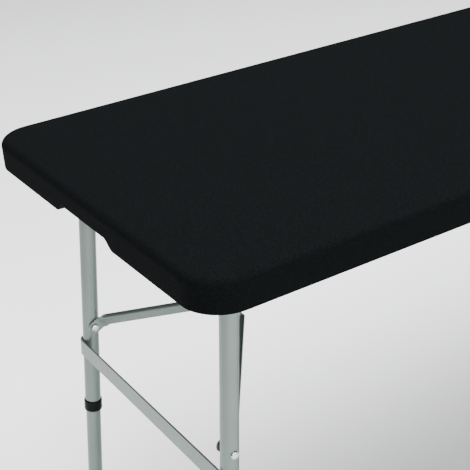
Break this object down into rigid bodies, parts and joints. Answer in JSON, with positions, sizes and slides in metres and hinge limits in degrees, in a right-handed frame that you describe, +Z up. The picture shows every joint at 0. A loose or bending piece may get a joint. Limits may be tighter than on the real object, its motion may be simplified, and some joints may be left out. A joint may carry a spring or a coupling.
{
  "type": "folding table",
  "caption": "Rectangular moulded folding table top with a deep rim and end finger grips, on two fold-up tubular steel leg frames with folding braces and extending feet.",
  "frame": {"origin": "on the floor, under the middle of the top", "axes": "+X along the length of the top, +Y across its width, +Z up; the end shown in the picture is at -X and its near long side at -Y"},
  "size_m": [1.83, 0.61, 0.74],
  "materials": {
    "moulded_top": "black moulded polyethylene with a fine pebble grain",
    "coated_steel": "pale grey satin powder coat",
    "zinc_steel": "bright zinc plate",
    "black_plastic": "black moulded plastic"
  },
  "bodies": {
    "top": {"tabletop": "moulded_top", "side_rail_front": "coated_steel", "side_rail_back": "coated_steel", "stay_bracket_left": "zinc_steel", "stay_bracket_pin_left": "zinc_steel", "stay_bracket_right": "zinc_steel", "stay_bracket_pin_right": "zinc_steel"},
    "leg_frame_left": {"hinge_rod_left": "zinc_steel", "cross_strap_left": "coated_steel", "rod_clip_left_front": "zinc_steel", "leg_upper_left_front": "coated_steel", "leg_collar_left_front": "black_plastic", "brace_rivet_left_front": "zinc_steel", "rod_clip_left_back": "zinc_steel", "leg_upper_left_back": "coated_steel", "leg_collar_left_back": "black_plastic", "brace_rivet_left_back": "zinc_steel"},
    "brace_left": {"brace_arm_left_front": "coated_steel", "brace_arm_left_back": "coated_steel", "knuckle_rivet_left_front": "zinc_steel", "knuckle_rivet_left_back": "zinc_steel"},
    "stay_left": {"stay_link_left": "coated_steel"},
    "lower_leg_left_front": {"leg_lower_left_front": "coated_steel", "foot_left_front": "black_plastic"},
    "button_left_front": {"snap_button_left_front": "zinc_steel"},
    "lower_leg_left_back": {"leg_lower_left_back": "coated_steel", "foot_left_back": "black_plastic"},
    "button_left_back": {"snap_button_left_back": "zinc_steel"},
    "leg_frame_right": {"hinge_rod_right": "zinc_steel", "cross_strap_right": "coated_steel", "rod_clip_right_front": "zinc_steel", "leg_upper_right_front": "coated_steel", "leg_collar_right_front": "black_plastic", "brace_rivet_right_front": "zinc_steel", "rod_clip_right_back": "zinc_steel", "leg_upper_right_back": "coated_steel", "leg_collar_right_back": "black_plastic", "brace_rivet_right_back": "zinc_steel"},
    "brace_right": {"brace_arm_right_front": "coated_steel", "brace_arm_right_back": "coated_steel", "knuckle_rivet_right_front": "zinc_steel", "knuckle_rivet_right_back": "zinc_steel"},
    "stay_right": {"stay_link_right": "coated_steel"},
    "lower_leg_right_front": {"leg_lower_right_front": "coated_steel", "foot_right_front": "black_plastic"},
    "button_right_front": {"snap_button_right_front": "zinc_steel"},
    "lower_leg_right_back": {"leg_lower_right_back": "coated_steel", "foot_right_back": "black_plastic"},
    "button_right_back": {"snap_button_right_back": "zinc_steel"}
  },
  "joints": [
    {"name": "fold_left", "type": "hinge", "parent": "top", "child": "leg_frame_left", "pos_m": [-0.81482, 0, 0.705], "axis": [0, -1, 0], "range_deg": [0, 95]},
    {"name": "brace_turn_left", "type": "hinge", "parent": "leg_frame_left", "child": "brace_left", "pos_m": [-0.8394, 0, 0.429], "axis": [0, -1, 0], "range_deg": [0, 58.82]},
    {"name": "stay_turn_left", "type": "hinge", "parent": "top", "child": "stay_left", "pos_m": [-0.29183, 0, 0.708], "axis": [0, -1, 0], "range_deg": [-26.22, 0]},
    {"name": "height_left_front", "type": "slide", "parent": "leg_frame_left", "child": "lower_leg_left_front", "axis": [-0.0887, -0.0265, -0.9957], "range_m": [-0.04, 0.05]},
    {"name": "button_press_left_front", "type": "slide", "parent": "leg_frame_left", "child": "button_left_front", "axis": [-0.0023, 0.9996, -0.0264], "range_m": [0, 0.0035], "stiffness_N_per_m": 400},
    {"name": "height_left_back", "type": "slide", "parent": "leg_frame_left", "child": "lower_leg_left_back", "axis": [-0.0887, 0.0265, -0.9957], "range_m": [-0.04, 0.05]},
    {"name": "button_press_left_back", "type": "slide", "parent": "leg_frame_left", "child": "button_left_back", "axis": [-0.0023, -0.9996, -0.0264], "range_m": [0, 0.0035], "stiffness_N_per_m": 400},
    {"name": "fold_right", "type": "hinge", "parent": "top", "child": "leg_frame_right", "pos_m": [0.81482, 0, 0.705], "axis": [0, 1, 0], "range_deg": [0, 95]},
    {"name": "brace_turn_right", "type": "hinge", "parent": "leg_frame_right", "child": "brace_right", "pos_m": [0.8394, 0, 0.429], "axis": [0, 1, 0], "range_deg": [0, 58.82]},
    {"name": "stay_turn_right", "type": "hinge", "parent": "top", "child": "stay_right", "pos_m": [0.29183, 0, 0.708], "axis": [0, 1, 0], "range_deg": [-26.22, 0]},
    {"name": "height_right_front", "type": "slide", "parent": "leg_frame_right", "child": "lower_leg_right_front", "axis": [0.0887, -0.0265, -0.9957], "range_m": [-0.04, 0.05]},
    {"name": "button_press_right_front", "type": "slide", "parent": "leg_frame_right", "child": "button_right_front", "axis": [0.0023, 0.9996, -0.0264], "range_m": [0, 0.0035], "stiffness_N_per_m": 400},
    {"name": "height_right_back", "type": "slide", "parent": "leg_frame_right", "child": "lower_leg_right_back", "axis": [0.0887, 0.0265, -0.9957], "range_m": [-0.04, 0.05]},
    {"name": "button_press_right_back", "type": "slide", "parent": "leg_frame_right", "child": "button_right_back", "axis": [0.0023, -0.9996, -0.0264], "range_m": [0, 0.0035], "stiffness_N_per_m": 400}
  ],
  "couplings": [
    {"joint": "brace_turn_left", "follows": "fold_left", "ratio": 0.61892},
    {"joint": "stay_turn_left", "follows": "fold_left", "ratio": -0.2758},
    {"joint": "brace_turn_right", "follows": "fold_right", "ratio": 0.61892},
    {"joint": "stay_turn_right", "follows": "fold_right", "ratio": -0.2758}
  ]
}
